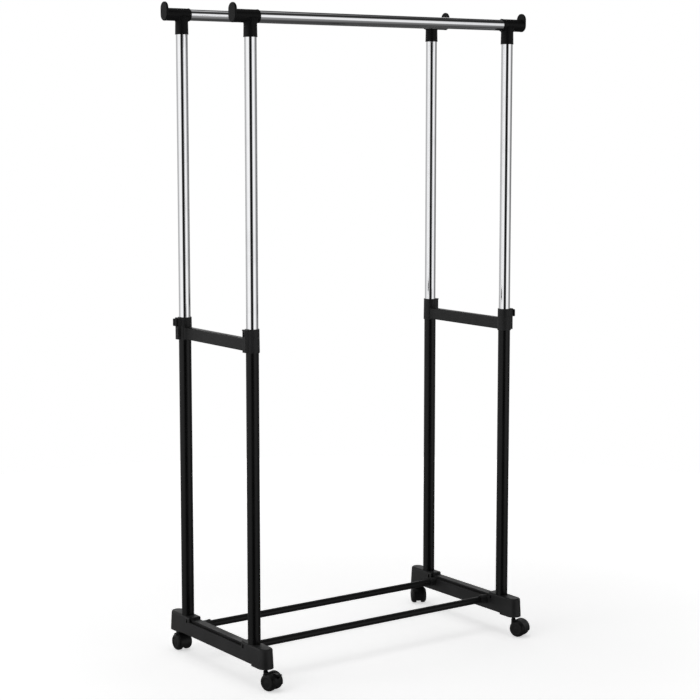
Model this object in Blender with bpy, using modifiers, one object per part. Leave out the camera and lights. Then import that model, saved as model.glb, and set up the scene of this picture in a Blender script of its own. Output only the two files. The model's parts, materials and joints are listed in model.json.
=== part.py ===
"""Rolling clothes rack with two rails that adjust in height.

Metres, +Z up. The origin is on the floor in the middle of the footprint, +X runs along
the rails and the front faces -Y. Pieces that touch or slide keep FIT_GAP between them.
"""
from math import cos, pi, radians, sin

import bmesh
import bpy
from mathutils import Matrix, Vector

# ---- driving dimensions ------------------------------------------------------------
FIT_GAP = 0.0003

POST_X = 0.349                  # posts' axes, each side of the middle
POST_Y = 0.141
BAR_Y = 0.099                   # lower cross bars' axes
CASTER_Y = 0.186                # caster stems' axes

LOWER_TUBE_RADIUS = 0.0140
LOWER_TUBE_WALL = 0.0007
UPPER_TUBE_RADIUS = 0.0130
UPPER_TUBE_WALL = 0.0008
RAIL_RADIUS = 0.0125
RAIL_WALL = 0.0009
BAR_RADIUS = 0.0080
BAR_WALL = 0.0010
TUBE_SEGMENTS = 24

BASE_HALF_LENGTH = 0.203
BASE_BOTTOM_RADIUS = 0.0180
BASE_TOP_RADIUS = 0.0157
BASE_BOTTOM_Z = 0.0455
BASE_MIDDLE_BOTTOM_Z = 0.0490
BASE_TOP_Z = 0.0895
BASE_EDGE_ROUND = 0.0035
BASE_END_SEGMENTS = 24
FOOT_STEP_Y = 0.156             # the deeper ends start here
LEDGE_Z = 0.0786
GROOVE_Z = 0.0755
RIDGE_Z = 0.0840
RIDGE_HALF_WIDTH = 0.0095
GROOVE_WIDTH = 0.0030
GROOVE_HALF_LENGTH = 0.112
POST_SEAT_Z = 0.0600
BAR_Z = 0.0705
COLLAR_RADIUS = 0.0105
COLLAR_REACH = 0.0330
BAR_SOCKET_DEPTH = 0.0080       # past the base's middle plane
POCKET_HALF_WIDTH = 0.0138
POCKET_ROOF_Z = 0.0725
POCKET_HALF_LENGTH = 0.084
RIB_THICKNESS = 0.0024
POCKET_COUNT = 4

BRACE_BOTTOM_Z = 0.7234
BRACE_TOP_Z = 0.7740
TUBE_STOP_Z = 0.7703            # lower tubes end under this lip
SLEEVE_BOTTOM_RADIUS = 0.0159
SLEEVE_TOP_RADIUS = 0.0153
BRACE_BAR_BOTTOM_Z = 0.7250
BRACE_BAR_TOP_Z = 0.7520
BRACE_BAR_HALF_WIDTH = 0.0083
BOSS_HALF_WIDTH = 0.0062
BOSS_REACH = 0.0215
BOSS_LIP = 0.0008
LOCK_Z = 0.7630
INSERT_RADIUS = 0.0045
STUD_RADIUS = 0.0030
RECESS_RADIUS = 0.0048          # the blank boss's blind recess
RECESS_DEPTH = 0.0020
KNOB_HALF_WIDTH = 0.0083
KNOB_EDGE_ROUND = 0.0012
KNOB_REACH = 0.0265
KNOB_CAP = 0.0016               # material over the stud's head

ROW_RAISE = {"front": -0.0089, "rear": 0.0060}   # each rail above or below its middle setting
UPPER_TUBE_BOTTOM_Z = 0.6940    # these heights are for a rail at its middle setting
UPPER_TUBE_TOP_Z = 1.4190
RAIL_Z = 1.4370
TEE_BOTTOM_Z = 1.3940
TEE_COLLAR_RADIUS = 0.0149
TEE_SLEEVE_RADIUS = 0.0139
TEE_INNER_REACH = 0.0185
TEE_PLATE_OUTER = 0.0455
TEE_PLATE_THICKNESS = 0.0050
TEE_PLATE_RADIUS = 0.0136
TEE_PLATE_RISE = 0.0139         # between the end plate's two arc centres
TEE_BORE_END = 0.0395
TEE_WEB_TOP_Z = 1.4193
RAIL_HALF_LENGTH = 0.388

WHEEL_RADIUS = 0.0192
WHEEL_SHOULDER = 0.0070         # rounding from the tread to the outer face
WHEEL_WIDTH = 0.0125
WHEEL_INNER_X = 0.0060
CASTER_TRAIL = 0.0160
AXLE_RADIUS = 0.0025
HOOD_WEB_HALF = 0.0057
HOOD_WEB_RADIUS = 0.0204
HOOD_WEB_BOTTOM_Z = 0.0080
HOOD_BOSS_RADIUS = 0.0053
HOOD_BOSS_BOTTOM_Z = 0.0207
HOOD_BOSS_TOP_Z = 0.0385
FENDER_INNER = 0.0198
FENDER_OUTER = 0.0210
FENDER_HALF_WIDTH = 0.0135
FENDER_START = 48.0             # degrees from straight ahead, over the top, to the rear
FENDER_END = 196.0
STEM_RADIUS = 0.0038
STEM_COLLAR = 0.0006            # the shoulder ring stands out this far
STEM_COLLAR_HEIGHT = 0.0012
STEM_FOOT_RADIUS = 0.0032
STEM_FOOT_Z = 0.0245
STEM_TOP_Z = 0.0720
SOCKET_RADIUS = 0.0055
SOCKET_TOP_Z = 0.0742
FOOTPRINT_SHIFT_Y = 0.01167     # the casters trail forwards, so the posts stand behind the middle
SWIVEL_AT_REST = {"front_left": 19.0, "front_right": 22.0, "rear_left": 0.0, "rear_right": -30.0}

BRAKE_PIVOT = (-0.0245, 0.0342)  # along the caster's trail, and up
BRAKE_POCKET_Y = (-0.0365, -0.0193)
BRAKE_POCKET_Z = (0.0281, 0.0446)
BRAKE_HALF_WIDTH = 0.0047
BRAKE_PIN_RADIUS = 0.0012

CORNERS = {
    "front_left": (-1, -1),
    "front_right": (1, -1),
    "rear_left": (-1, 1),
    "rear_right": (1, 1),
}
LOCKED_CORNERS = ("rear_left", "front_right")


# ---- scene, materials and objects ---------------------------------------------------
def clear_scene():
    for item in list(bpy.data.objects):
        bpy.data.objects.remove(item, do_unlink=True)


def make_collection(name):
    collection = bpy.data.collections.new(name)
    bpy.context.scene.collection.children.link(collection)
    return collection


def make_material(name, colour, roughness, metallic):
    material = bpy.data.materials.new(name)
    material.use_nodes = True
    shader = material.node_tree.nodes["Principled BSDF"]
    shader.inputs["Base Color"].default_value = (*colour, 1.0)
    shader.inputs["Roughness"].default_value = roughness
    shader.inputs["Metallic"].default_value = metallic
    material.diffuse_color = (*colour, 1.0)
    return material


def moulded_black():
    return make_material("moulded_black", (0.020, 0.020, 0.021), 0.55, 0.0)


def coated_black():
    return make_material("coated_black", (0.012, 0.012, 0.013), 0.35, 0.0)


def bright_chrome():
    return make_material("bright_chrome", (0.86, 0.87, 0.88), 0.08, 1.0)


def wheel_black():
    return make_material("wheel_black", (0.030, 0.030, 0.031), 0.45, 0.0)


def zinc_steel():
    return make_material("zinc_steel", (0.60, 0.60, 0.58), 0.35, 1.0)


def soften(mesh):
    mesh.shade_smooth()
    mesh.set_sharp_from_angle(angle=radians(35.0))


def mesh_from(bm, name):
    bmesh.ops.recalc_face_normals(bm, faces=bm.faces)
    mesh = bpy.data.meshes.new(name)
    bm.to_mesh(mesh)
    bm.free()
    soften(mesh)
    return mesh


def place(rack, name, mesh, material, location=(0, 0, 0), turn=(0, 0, 0), parent=None):
    piece = bpy.data.objects.new(name, mesh)
    rack.objects.link(piece)
    piece.location = location
    piece.rotation_euler = turn
    piece.parent = parent
    if not mesh.materials:
        mesh.materials.append(material)
    return piece


def combine(piece, tools, label, mesh, operation):
    """Join a helper mesh to the piece, or cut it away, with a live Boolean."""
    tool = bpy.data.objects.new(f"{piece.name}_{label}", mesh)
    tools.objects.link(tool)
    tool.parent = piece
    tool.hide_render = True
    tool.display_type = "WIRE"
    modifier = piece.modifiers.new(label, "BOOLEAN")
    modifier.operation = operation
    modifier.solver = "EXACT"
    modifier.use_self = True
    modifier.object = tool


# ---- shapes ---------------------------------------------------------------------------
AXES = {"X": Matrix.Rotation(pi / 2, 4, "Y"), "Z": Matrix.Identity(4)}


def add_cylinder(bm, radius, centre, length, axis="Z", segments=TUBE_SEGMENTS, top_radius=None):
    end_radius = radius if top_radius is None else top_radius
    matrix = Matrix.Translation(centre) @ AXES[axis]
    return bmesh.ops.create_cone(bm, cap_ends=True, segments=segments, radius1=radius,
                                 radius2=end_radius, depth=length, matrix=matrix)["verts"]


def add_box(bm, low, high):
    centre = (Vector(low) + Vector(high)) / 2
    size = Vector(high) - Vector(low)
    matrix = Matrix.Translation(centre) @ Matrix.Diagonal(size).to_4x4()
    return bmesh.ops.create_cube(bm, size=1.0, matrix=matrix)["verts"]


def bevel_edges(bm, chosen, width, segments):
    bmesh.ops.bevel(bm, geom=chosen, offset=width, segments=segments, profile=0.5,
                    affect="EDGES", clamp_overlap=True)


def turned_mesh(name, profile, closed):
    """A turned piece's profile: radius and height, down the outer side."""
    mesh = bpy.data.meshes.new(name)
    points = [(radius, 0.0, height) for radius, height in profile]
    edges = [(index, index + 1) for index in range(len(points) - 1)]
    if closed:
        edges.append((len(points) - 1, 0))
    mesh.from_pydata(points, edges, [])
    return mesh


def turn(piece, steps):
    modifier = piece.modifiers.new("turned", "SCREW")
    modifier.axis = "Z"
    modifier.angle = 2 * pi
    modifier.screw_offset = 0.0
    modifier.steps = steps
    modifier.render_steps = steps
    modifier.use_merge_vertices = True
    modifier.merge_threshold = 0.00001
    modifier.use_smooth_shade = True
    return piece


def tube_mesh(name, radius, wall, low, high):
    inner = radius - wall
    profile = [(radius, high), (radius, low), (inner, low), (inner, high)]
    return turned_mesh(name, profile, closed=True)


def outline_mesh(name, points, thickness):
    """A flat outline in X and Y, as thick as given, centred on Z = 0."""
    curve = bpy.data.curves.new(name, "CURVE")
    curve.dimensions = "2D"
    curve.fill_mode = "BOTH"
    curve.extrude = thickness / 2
    spline = curve.splines.new("POLY")
    spline.points.add(len(points) - 1)
    for point, (across, along) in zip(spline.points, points):
        point.co = (across, along, 0.0, 1.0)
    spline.use_cyclic_u = True
    holder = bpy.data.objects.new(name, curve)
    bpy.context.scene.collection.objects.link(holder)
    graph = bpy.context.evaluated_depsgraph_get()
    mesh = bpy.data.meshes.new_from_object(holder.evaluated_get(graph))
    bpy.data.objects.remove(holder, do_unlink=True)
    bpy.data.curves.remove(curve)
    return mesh


def prism(name, points, thickness, axis):
    """An outline's solid: (y, z) points along X, or (x, z) points along Y."""
    bm = bmesh.new()
    mesh = outline_mesh(name, points, thickness)
    bm.from_mesh(mesh)
    bpy.data.meshes.remove(mesh)
    bmesh.ops.remove_doubles(bm, verts=bm.verts, dist=0.00001)
    if axis == "X":
        swing = Matrix(((0, 0, 1), (1, 0, 0), (0, 1, 0)))
    else:
        swing = Matrix(((1, 0, 0), (0, 0, 1), (0, 1, 0)))
    bmesh.ops.rotate(bm, verts=bm.verts, cent=(0, 0, 0), matrix=swing)
    return mesh_from(bm, name)


def stretch_ends(verts, coordinate, centre, amount):
    """Pull a round shape's two halves apart, which leaves straight sides between them."""
    for vert in verts:
        beyond = vert.co[coordinate] > centre
        vert.co[coordinate] += amount if beyond else 0.0


# ---- base housings ----------------------------------------------------------------
def base_body_mesh():
    bm = bmesh.new()
    height = BASE_TOP_Z - BASE_BOTTOM_Z
    straight = BASE_HALF_LENGTH - BASE_BOTTOM_RADIUS
    spread = Matrix.Rotation(pi / BASE_END_SEGMENTS, 3, "Z")
    verts = add_cylinder(bm, BASE_BOTTOM_RADIUS, (0, 0, BASE_BOTTOM_Z + height / 2), height,
                         segments=BASE_END_SEGMENTS, top_radius=BASE_TOP_RADIUS)
    bmesh.ops.rotate(bm, verts=verts, cent=(0, 0, 0), matrix=spread)
    stretch_ends(verts, 1, 0.0, 2 * straight)
    bmesh.ops.translate(bm, verts=verts, vec=(0, -straight, 0))
    rim = [edge for edge in bm.edges if all(abs(v.co.z - BASE_TOP_Z) < 1e-6 for v in edge.verts)]
    bevel_edges(bm, rim, BASE_EDGE_ROUND, 2)
    return mesh_from(bm, "base_body")


def base_waist_mesh():
    """What is missing over the middle: the space beside the ridge, and over it."""
    outside = BASE_BOTTOM_RADIUS + 0.006
    above = BASE_TOP_Z + 0.006
    groove = RIDGE_HALF_WIDTH + GROOVE_WIDTH
    chamfer = 0.0015
    right = [
        (RIDGE_HALF_WIDTH - chamfer, RIDGE_Z),
        (RIDGE_HALF_WIDTH, RIDGE_Z - chamfer),
        (RIDGE_HALF_WIDTH, GROOVE_Z),
        (groove, GROOVE_Z),
        (groove, LEDGE_Z),
        (outside, LEDGE_Z),
        (outside, above),
    ]
    left = [(-across, height) for across, height in reversed(right)]
    return prism("base_waist", right + left, 2 * GROOVE_HALF_LENGTH, "Y")


def base_collars_mesh():
    bm = bmesh.new()
    for side in (-1, 1):
        add_cylinder(bm, COLLAR_RADIUS, (-COLLAR_REACH / 2, side * BAR_Y, BAR_Z), COLLAR_REACH, "X")
    return mesh_from(bm, "base_collars")


def base_cuts_mesh():
    """Sockets for posts, bars and casters, the pockets underneath and the side notches."""
    bm = bmesh.new()
    above = BASE_TOP_Z + 0.004
    below = BASE_BOTTOM_Z - 0.004
    for side in (-1, 1):
        post_depth = above - POST_SEAT_Z
        add_cylinder(bm, LOWER_TUBE_RADIUS + FIT_GAP,
                     (0, side * POST_Y, POST_SEAT_Z + post_depth / 2), post_depth)
        bore_start = -COLLAR_REACH - 0.002
        bore_length = BAR_SOCKET_DEPTH - bore_start
        add_cylinder(bm, BAR_RADIUS + FIT_GAP,
                     (bore_start + bore_length / 2, side * BAR_Y, BAR_Z), bore_length, "X")
        socket_top = SOCKET_TOP_Z + FIT_GAP
        add_cylinder(bm, SOCKET_RADIUS + FIT_GAP,
                     (0, side * CASTER_Y, (below + socket_top) / 2), socket_top - below, segments=16)
        for face in (-1, 1):
            notch = [face * 0.0130, face * 0.0220]
            along = [side * 0.1170, side * 0.1230]
            add_box(bm, (min(notch), min(along), 0.0755), (max(notch), max(along), 0.0840))
    add_box(bm, (-0.030, -FOOT_STEP_Y, below), (0.030, FOOT_STEP_Y, BASE_MIDDLE_BOTTOM_Z))
    pitch = (2 * POCKET_HALF_LENGTH + RIB_THICKNESS) / POCKET_COUNT
    for index in range(POCKET_COUNT):
        start = -POCKET_HALF_LENGTH + index * pitch
        add_box(bm, (-POCKET_HALF_WIDTH, start, BASE_MIDDLE_BOTTOM_Z - 0.001),
                (POCKET_HALF_WIDTH, start + pitch - RIB_THICKNESS, POCKET_ROOF_Z))
    return mesh_from(bm, "base_cuts")


def make_bases(rack, tools, material):
    body = base_body_mesh()
    waist = base_waist_mesh()
    collars = base_collars_mesh()
    cuts = base_cuts_mesh()
    for name, side, angle in (("left_base_housing", -1, pi), ("right_base_housing", 1, 0.0)):
        base = place(rack, name, body, material, (side * POST_X, 0, 0), (0, 0, angle))
        combine(base, tools, "waist", waist, "DIFFERENCE")
        combine(base, tools, "collars", collars, "UNION")
        combine(base, tools, "cuts", cuts, "DIFFERENCE")


# ---- tubes --------------------------------------------------------------------------
def lock_hole_mesh():
    bm = bmesh.new()
    reach = LOWER_TUBE_RADIUS + 0.003
    start = LOWER_TUBE_RADIUS - LOWER_TUBE_WALL - 0.003
    add_cylinder(bm, STUD_RADIUS + 2 * FIT_GAP, ((start + reach) / 2, 0, LOCK_Z), reach - start,
                 "X", 16)
    return mesh_from(bm, "lock_hole")


def rail_spot(corner):
    """Where the pieces that rise with a corner's rail stand."""
    side, depth = CORNERS[corner]
    row = corner.split("_")[0]
    return (side * POST_X, depth * POST_Y, ROW_RAISE[row])


def make_posts(rack, tools, coated, chrome):
    lower = tube_mesh("lower_post", LOWER_TUBE_RADIUS, LOWER_TUBE_WALL,
                      POST_SEAT_Z + FIT_GAP, TUBE_STOP_Z - FIT_GAP)
    upper = tube_mesh("upper_post", UPPER_TUBE_RADIUS, UPPER_TUBE_WALL,
                      UPPER_TUBE_BOTTOM_Z, UPPER_TUBE_TOP_Z)
    hole = lock_hole_mesh()
    for corner, (side, depth) in CORNERS.items():
        spot = (side * POST_X, depth * POST_Y, 0)
        angle = 0.0 if side > 0 else pi
        tube = turn(place(rack, f"{corner}_lower_post", lower, coated, spot, (0, 0, angle)),
                    TUBE_SEGMENTS)
        if corner in LOCKED_CORNERS:
            combine(tube, tools, "lock_hole", hole, "DIFFERENCE")
        turn(place(rack, f"{corner}_upper_post", upper, chrome, rail_spot(corner)), TUBE_SEGMENTS)


def make_bushes(rack, material):
    """Plastic guides that plug the chrome tubes' lower ends."""
    low = UPPER_TUBE_BOTTOM_Z - FIT_GAP
    spigot = UPPER_TUBE_RADIUS - UPPER_TUBE_WALL - FIT_GAP
    inner = spigot - 0.0018
    profile = [
        (spigot, low + 0.0110),
        (spigot, low),
        (UPPER_TUBE_RADIUS, low),
        (UPPER_TUBE_RADIUS, low - 0.0040),
        (inner, low - 0.0040),
        (inner, low + 0.0110),
    ]
    mesh = turned_mesh("guide_bush", profile, closed=True)
    for corner in CORNERS:
        turn(place(rack, f"{corner}_guide_bush", mesh, material, rail_spot(corner)), TUBE_SEGMENTS)


def make_cross_bars(rack, coated, chrome):
    flat = (0, pi / 2, 0)
    bar_half = POST_X + BAR_SOCKET_DEPTH - FIT_GAP
    bar = tube_mesh("bottom_bar", BAR_RADIUS, BAR_WALL, -bar_half, bar_half)
    rail = tube_mesh("top_rail", RAIL_RADIUS, RAIL_WALL, -RAIL_HALF_LENGTH, RAIL_HALF_LENGTH)
    for name, depth in (("front", -1), ("rear", 1)):
        turn(place(rack, f"{name}_bottom_bar", bar, coated, (0, depth * BAR_Y, BAR_Z), flat),
             TUBE_SEGMENTS)
        height = RAIL_Z + ROW_RAISE[name]
        turn(place(rack, f"{name}_top_rail", rail, chrome, (0, depth * POST_Y, height), flat),
             TUBE_SEGMENTS)


# ---- rail connectors ------------------------------------------------------------------
def tee_sleeve_mesh():
    bm = bmesh.new()
    outer = TEE_PLATE_OUTER - TEE_PLATE_THICKNESS / 2
    length = outer + TEE_INNER_REACH
    add_cylinder(bm, TEE_SLEEVE_RADIUS, ((outer - TEE_INNER_REACH) / 2, 0, RAIL_Z), length, "X")
    return mesh_from(bm, "tee_sleeve")


def tee_extras_mesh():
    """The collar that takes the post, and the upturned end plate that stops hangers."""
    bm = bmesh.new()
    collar_top = RAIL_Z - 0.004
    height = collar_top - TEE_BOTTOM_Z
    add_cylinder(bm, TEE_COLLAR_RADIUS, (0, 0, TEE_BOTTOM_Z + height / 2), height)
    middle = TEE_PLATE_OUTER - TEE_PLATE_THICKNESS / 2
    plate = add_cylinder(bm, TEE_PLATE_RADIUS, (middle, 0, RAIL_Z), TEE_PLATE_THICKNESS, "X")
    quarter = Matrix.Rotation(pi / TUBE_SEGMENTS, 3, "X")
    bmesh.ops.rotate(bm, verts=plate, cent=(0, 0, RAIL_Z), matrix=quarter)
    stretch_ends(plate, 2, RAIL_Z, TEE_PLATE_RISE)
    face_x = (TEE_PLATE_OUTER, TEE_PLATE_OUTER - TEE_PLATE_THICKNESS)
    rims = [edge for edge in bm.edges
            if any(all(abs(v.co.x - x) < 1e-6 for v in edge.verts) for x in face_x)]
    bevel_edges(bm, rims, 0.0014, 2)
    return mesh_from(bm, "tee_extras")


def tee_bores_mesh():
    bm = bmesh.new()
    start = -TEE_INNER_REACH - 0.004
    length = TEE_BORE_END - start
    add_cylinder(bm, RAIL_RADIUS + FIT_GAP, (start + length / 2, 0, RAIL_Z), length, "X")
    below = TEE_BOTTOM_Z - 0.004
    height = TEE_WEB_TOP_Z - below
    add_cylinder(bm, UPPER_TUBE_RADIUS + FIT_GAP, (0, 0, below + height / 2), height)
    return mesh_from(bm, "tee_bores")


def make_tees(rack, tools, material):
    sleeve = tee_sleeve_mesh()
    extras = tee_extras_mesh()
    bores = tee_bores_mesh()
    for corner, (side, _) in CORNERS.items():
        angle = 0.0 if side > 0 else pi
        tee = place(rack, f"{corner}_rail_connector", sleeve, material, rail_spot(corner),
                    (0, 0, angle))
        combine(tee, tools, "extras", extras, "UNION")
        combine(tee, tools, "bores", bores, "DIFFERENCE")


# ---- side braces and their height locks -----------------------------------------------
def brace_bar_mesh():
    bm = bmesh.new()
    end = POST_Y - 0.006
    add_box(bm, (-BRACE_BAR_HALF_WIDTH, -end, BRACE_BAR_BOTTOM_Z),
            (BRACE_BAR_HALF_WIDTH, end, BRACE_BAR_TOP_Z))
    along = [edge for edge in bm.edges
             if abs(edge.verts[0].co.y - edge.verts[1].co.y) > end]
    bevel_edges(bm, along, 0.0016, 2)
    return mesh_from(bm, "brace_bar")


def brace_sleeves_mesh():
    bm = bmesh.new()
    height = BRACE_TOP_Z - BRACE_BOTTOM_Z
    for side in (-1, 1):
        add_cylinder(bm, SLEEVE_BOTTOM_RADIUS, (0, side * POST_Y, BRACE_BOTTOM_Z + height / 2),
                     height, top_radius=SLEEVE_TOP_RADIUS)
    return mesh_from(bm, "brace_sleeves")


def brace_bosses_mesh():
    """A flat-faced boss with a small lip on the outer side of each sleeve."""
    inset = 0.0012
    lip_z = BRACE_TOP_Z - 0.0030
    outline = [
        (0.0, BRACE_BOTTOM_Z + inset),
        (BOSS_REACH, BRACE_BOTTOM_Z + inset),
        (BOSS_REACH, lip_z),
        (BOSS_REACH + BOSS_LIP, lip_z + BOSS_LIP),
        (BOSS_REACH + BOSS_LIP, BRACE_TOP_Z - 0.0004),
        (0.0, BRACE_TOP_Z - 0.0004),
    ]
    single = prism("brace_boss", outline, 2 * BOSS_HALF_WIDTH, "Y")
    bm = bmesh.new()
    for side in (-1, 1):
        known = set(bm.verts)
        bm.from_mesh(single)
        fresh = [vert for vert in bm.verts if vert not in known]
        bmesh.ops.translate(bm, verts=fresh, vec=(0, side * POST_Y, 0))
    return mesh_from(bm, "brace_bosses")


def brace_cuts_mesh():
    bm = bmesh.new()
    below = BRACE_BOTTOM_Z - 0.004
    above = BRACE_TOP_Z + 0.004
    for side in (-1, 1):
        add_cylinder(bm, LOWER_TUBE_RADIUS + FIT_GAP, (0, side * POST_Y, (below + TUBE_STOP_Z) / 2),
                     TUBE_STOP_Z - below)
        add_cylinder(bm, UPPER_TUBE_RADIUS + FIT_GAP,
                     (0, side * POST_Y, (TUBE_STOP_Z + above) / 2 - 0.001),
                     above - TUBE_STOP_Z + 0.002)
    lock_start = 0.010
    lock_end = BOSS_REACH + 0.004
    add_cylinder(bm, INSERT_RADIUS + FIT_GAP, ((lock_start + lock_end) / 2, -POST_Y, LOCK_Z),
                 lock_end - lock_start, "X", 16)
    recess_start = BOSS_REACH - RECESS_DEPTH
    add_cylinder(bm, RECESS_RADIUS, ((recess_start + lock_end) / 2, POST_Y, LOCK_Z),
                 lock_end - recess_start, "X", 16)
    return mesh_from(bm, "brace_cuts")


def make_braces(rack, tools, material):
    bar = brace_bar_mesh()
    sleeves = brace_sleeves_mesh()
    bosses = brace_bosses_mesh()
    cuts = brace_cuts_mesh()
    for name, side, angle in (("left_side_brace", -1, pi), ("right_side_brace", 1, 0.0)):
        brace = place(rack, name, bar, material, (side * POST_X, 0, 0), (0, 0, angle))
        combine(brace, tools, "sleeves", sleeves, "UNION")
        combine(brace, tools, "bosses", bosses, "UNION")
        combine(brace, tools, "cuts", cuts, "DIFFERENCE")


def knob_mesh():
    """A square grip, its middle on the lock's axis and its outer face at the reach."""
    bm = bmesh.new()
    back = BOSS_REACH + BOSS_LIP + FIT_GAP
    half = KNOB_HALF_WIDTH
    add_box(bm, (back, -half, -half), (KNOB_REACH, half, half))
    rounded = [edge for edge in bm.edges
               if any(vert.co.x > KNOB_REACH - FIT_GAP for vert in edge.verts)]
    bevel_edges(bm, rounded, KNOB_EDGE_ROUND, 2)
    return mesh_from(bm, "lock_knob")


def knob_hole_mesh():
    bm = bmesh.new()
    start = BOSS_REACH
    end = KNOB_REACH - KNOB_CAP
    add_cylinder(bm, STUD_RADIUS + FIT_GAP, ((start + end) / 2, 0, 0), end - start, "X", 16)
    return mesh_from(bm, "knob_hole")


def stud_profile():
    tip = UPPER_TUBE_RADIUS + FIT_GAP
    head = KNOB_REACH - KNOB_CAP - FIT_GAP
    return [(0.0, head), (STUD_RADIUS, head), (STUD_RADIUS, tip + 0.0008),
            (STUD_RADIUS - 0.0008, tip), (0.0, tip)]


def insert_profile():
    inner = STUD_RADIUS + FIT_GAP
    start = SLEEVE_BOTTOM_RADIUS - 0.0006
    return [(INSERT_RADIUS, BOSS_REACH), (INSERT_RADIUS, start), (inner, start), (inner, BOSS_REACH)]


def make_locks(rack, tools, plastic, steel):
    """Knob, threaded stud and threaded insert, about an axis that points outwards."""
    grip = knob_mesh()
    hole = knob_hole_mesh()
    stud = turned_mesh("lock_stud", stud_profile(), closed=False)
    insert = turned_mesh("lock_insert", insert_profile(), closed=True)
    for corner in LOCKED_CORNERS:
        side, depth = CORNERS[corner]
        spot = (side * POST_X, depth * POST_Y, LOCK_Z)
        outwards = (0, side * pi / 2, 0)
        half_turn = (0, 0, 0.0 if side > 0 else pi)
        knob = place(rack, f"{corner}_lock_knob", grip, plastic, spot, half_turn)
        combine(knob, tools, "stud_hole", hole, "DIFFERENCE")
        turn(place(rack, f"{corner}_lock_stud", stud, steel, spot, outwards), 16)
        turn(place(rack, f"{corner}_lock_insert", insert, steel, spot, outwards), 16)


# ---- casters ------------------------------------------------------------------------
def hood_web_mesh():
    """The middle wall between the wheels: a disc with its lower part cut off."""
    bm = bmesh.new()
    add_cylinder(bm, HOOD_WEB_RADIUS, (0, -CASTER_TRAIL, WHEEL_RADIUS), 2 * HOOD_WEB_HALF, "X", 28)
    cut = bmesh.ops.bisect_plane(bm, geom=bm.verts[:] + bm.edges[:] + bm.faces[:],
                                 plane_co=(0, 0, HOOD_WEB_BOTTOM_Z), plane_no=(0, 0, -1),
                                 clear_outer=True)
    open_edges = [item for item in cut["geom_cut"] if isinstance(item, bmesh.types.BMEdge)]
    bmesh.ops.edgeloop_fill(bm, edges=open_edges)
    return mesh_from(bm, "hood_web")


def hood_boss_mesh():
    bm = bmesh.new()
    height = HOOD_BOSS_TOP_Z - HOOD_BOSS_BOTTOM_Z
    middle = (HOOD_BOSS_TOP_Z + HOOD_BOSS_BOTTOM_Z) / 2
    add_cylinder(bm, HOOD_BOSS_RADIUS, (0, 0, middle), height, segments=16)
    return mesh_from(bm, "hood_boss")


def fender_mesh():
    """A thin arch over both wheels, swept about the axle."""
    bm = bmesh.new()
    middle = (FENDER_INNER + FENDER_OUTER) / 2
    size = Matrix.Diagonal((2 * FENDER_HALF_WIDTH, FENDER_OUTER - FENDER_INNER, 1.0)).to_4x4()
    bmesh.ops.create_grid(bm, x_segments=1, y_segments=1, size=0.5,
                          matrix=Matrix.Translation((0, middle, 0)) @ size)
    bmesh.ops.rotate(bm, verts=bm.verts, cent=(0, 0, 0),
                     matrix=Matrix.Rotation(radians(FENDER_START), 3, "X"))
    section = bm.verts[:] + bm.edges[:] + bm.faces[:]
    bmesh.ops.spin(bm, geom=section, cent=(0, 0, 0), axis=(1, 0, 0),
                   angle=radians(FENDER_END - FENDER_START), steps=14, use_duplicate=False)
    bmesh.ops.translate(bm, verts=bm.verts, vec=(0, -CASTER_TRAIL, WHEEL_RADIUS))
    return mesh_from(bm, "fender")


def hood_bores_mesh(with_brake):
    bm = bmesh.new()
    add_cylinder(bm, AXLE_RADIUS + FIT_GAP, (0, -CASTER_TRAIL, WHEEL_RADIUS), 0.020, "X", 12)
    top = HOOD_BOSS_TOP_Z + 0.003
    seat = STEM_FOOT_Z - FIT_GAP
    add_cylinder(bm, STEM_FOOT_RADIUS + FIT_GAP, (0, 0, (top + seat) / 2), top - seat, segments=12)
    if with_brake:
        half = BRAKE_HALF_WIDTH + FIT_GAP
        add_box(bm, (-half, BRAKE_POCKET_Y[0], BRAKE_POCKET_Z[0]),
                (half, BRAKE_POCKET_Y[1], BRAKE_POCKET_Z[1]))
        add_cylinder(bm, BRAKE_PIN_RADIUS + FIT_GAP, (0, *BRAKE_PIVOT), 0.0140, "X", 12)
    return mesh_from(bm, "hood_bores")


def stem_profile():
    shoulder = HOOD_BOSS_TOP_Z + FIT_GAP
    ring = STEM_RADIUS + STEM_COLLAR
    return [
        (0.0, STEM_TOP_Z),
        (STEM_RADIUS - 0.0016, STEM_TOP_Z),
        (STEM_RADIUS, STEM_TOP_Z - 0.0020),
        (STEM_RADIUS, shoulder + STEM_COLLAR_HEIGHT),
        (ring, shoulder + STEM_COLLAR_HEIGHT),
        (ring, shoulder),
        (STEM_FOOT_RADIUS, shoulder),
        (STEM_FOOT_RADIUS, STEM_FOOT_Z),
        (0.0, STEM_FOOT_Z),
    ]


def socket_profile():
    inner = STEM_RADIUS + FIT_GAP
    return [
        (0.0, SOCKET_TOP_Z),
        (SOCKET_RADIUS, SOCKET_TOP_Z),
        (SOCKET_RADIUS, BASE_BOTTOM_Z),
        (inner, BASE_BOTTOM_Z),
        (inner, STEM_TOP_Z + FIT_GAP),
        (0.0, STEM_TOP_Z + FIT_GAP),
    ]


def wheel_profile():
    """From the outer face's middle, round the shoulder to the tread, to the axle's blind bore."""
    face = WHEEL_WIDTH
    bore = AXLE_RADIUS + FIT_GAP
    steps = 4
    turns = [pi / 2 * (1 - step / steps) for step in range(steps + 1)]
    shoulder = [(WHEEL_RADIUS - WHEEL_SHOULDER * (1 - cos(angle)),
                 face - WHEEL_SHOULDER * (1 - sin(angle))) for angle in turns]
    return [
        (0.0, face - 0.0010),
        (WHEEL_RADIUS * 0.50, face - 0.0010),
        (WHEEL_RADIUS * 0.56, face),
        *shoulder,
        (WHEEL_RADIUS, 0.0014),
        (WHEEL_RADIUS - 0.0012, 0.0),
        (bore, 0.0),
        (bore, WHEEL_WIDTH - 0.0035),
        (0.0, WHEEL_WIDTH - 0.0035),
    ]


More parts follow.
